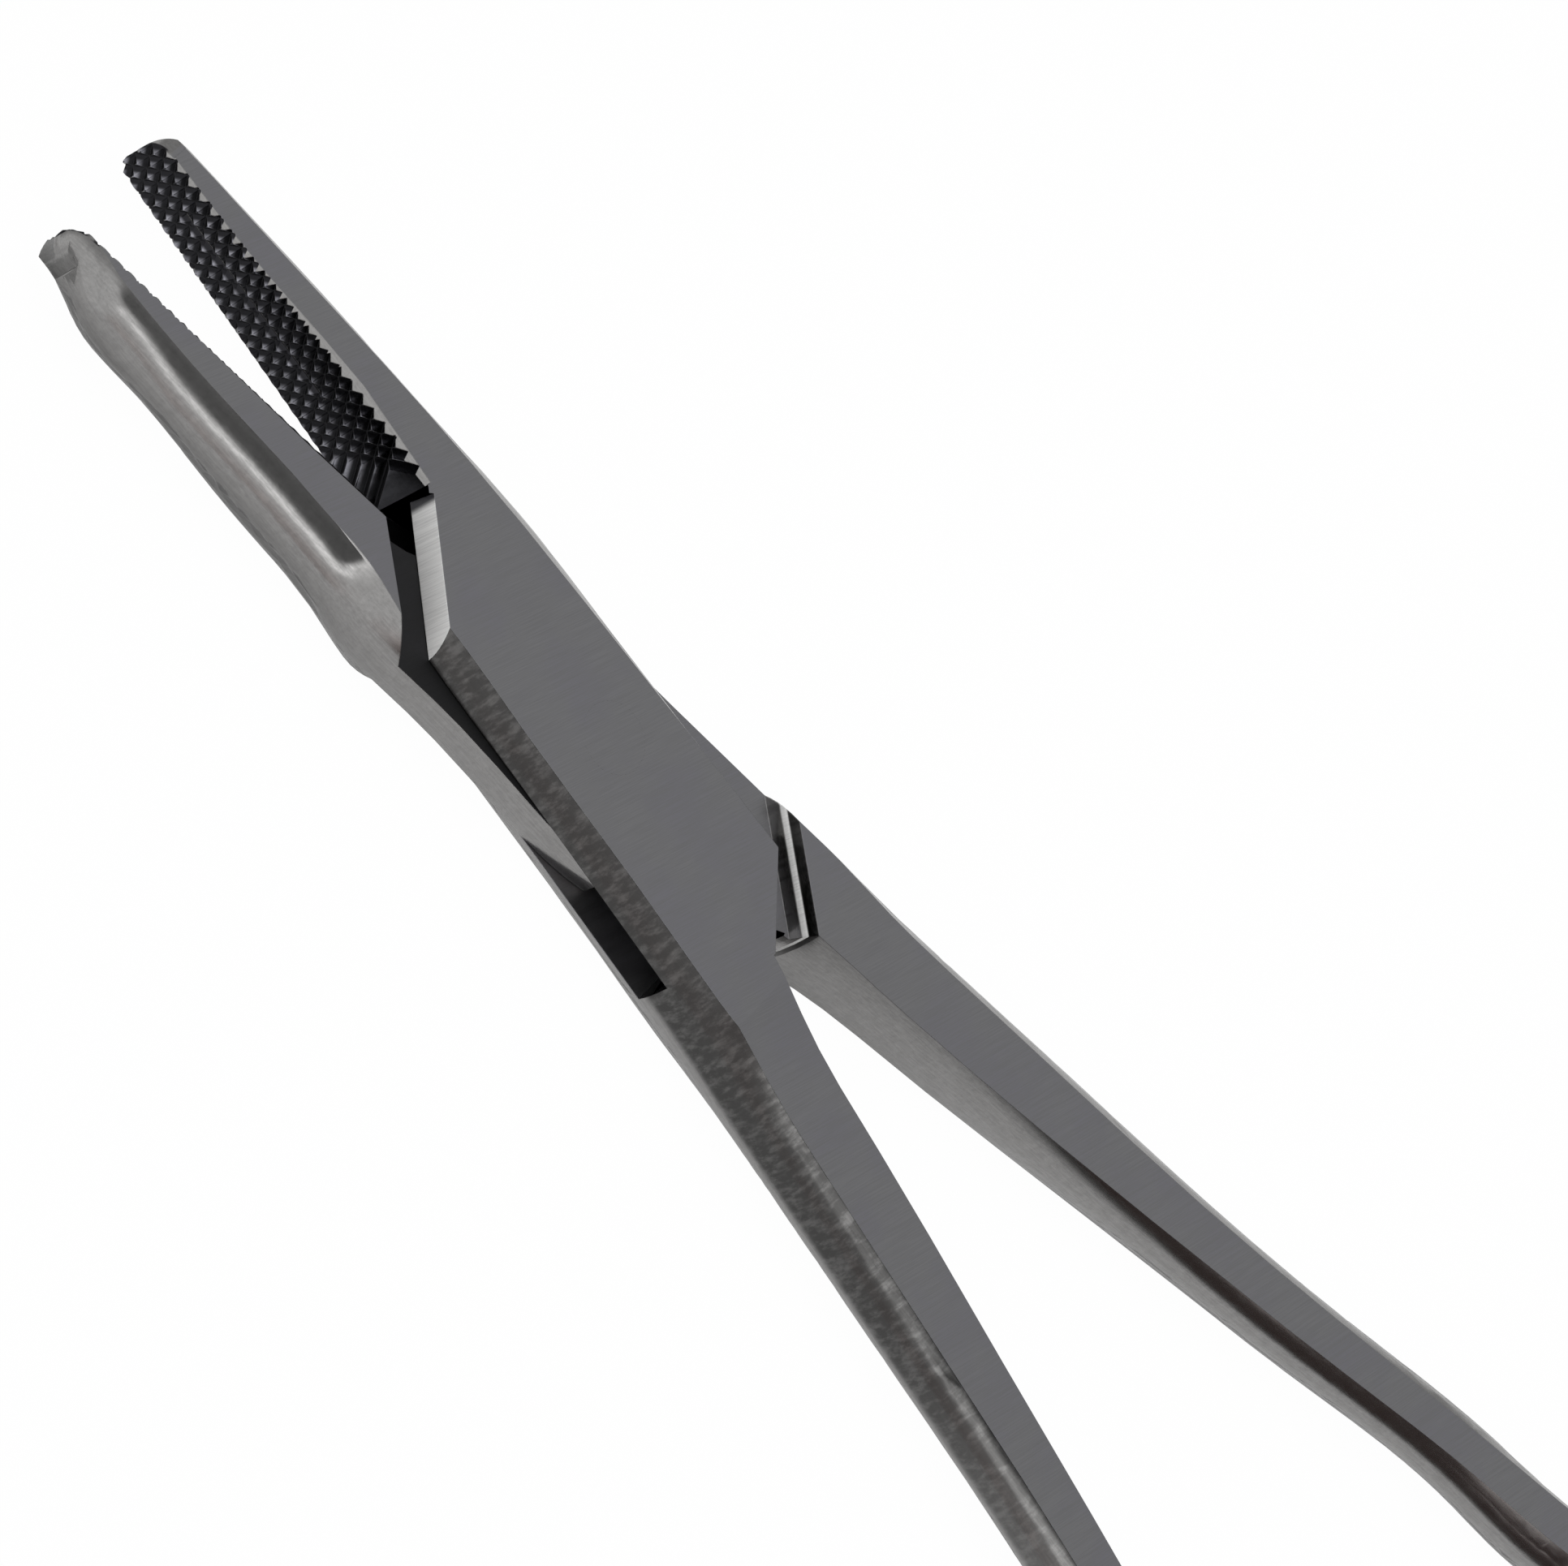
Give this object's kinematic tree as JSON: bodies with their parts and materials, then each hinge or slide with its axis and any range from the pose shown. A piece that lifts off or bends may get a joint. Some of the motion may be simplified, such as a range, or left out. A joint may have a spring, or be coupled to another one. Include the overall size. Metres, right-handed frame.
{
  "type": "surgical needle holder",
  "caption": "Box-lock needle holder with crossed gripping teeth, ratchet and oval finger rings; the two halves turn about one riveted pin.",
  "frame": {"origin": "on the pivot's axis, in the plane of the box's underside on which the instrument lies", "axes": "+X towards the jaw tips, +Z along the pivot; the box half's jaw lies at -Y and the tongue half's at +Y"},
  "size_m": [0.1574, 0.0856, 0.0051],
  "materials": {
    "satin_steel": "ground flats with fine lines across the arm, polished satin sides",
    "pin_steel": "ground flush with the box"
  },
  "bodies": {
    "box_body": {"box_half": "satin_steel", "pivot_pin": "pin_steel"},
    "tongue_body": {"tongue_half": "satin_steel"}
  },
  "joints": [
    {"name": "box_lock", "type": "hinge", "parent": "box_body", "child": "tongue_body", "pos_m": [0, 0, 0], "axis": [0, 0, 1], "range_deg": [-10, 40]}
  ]
}
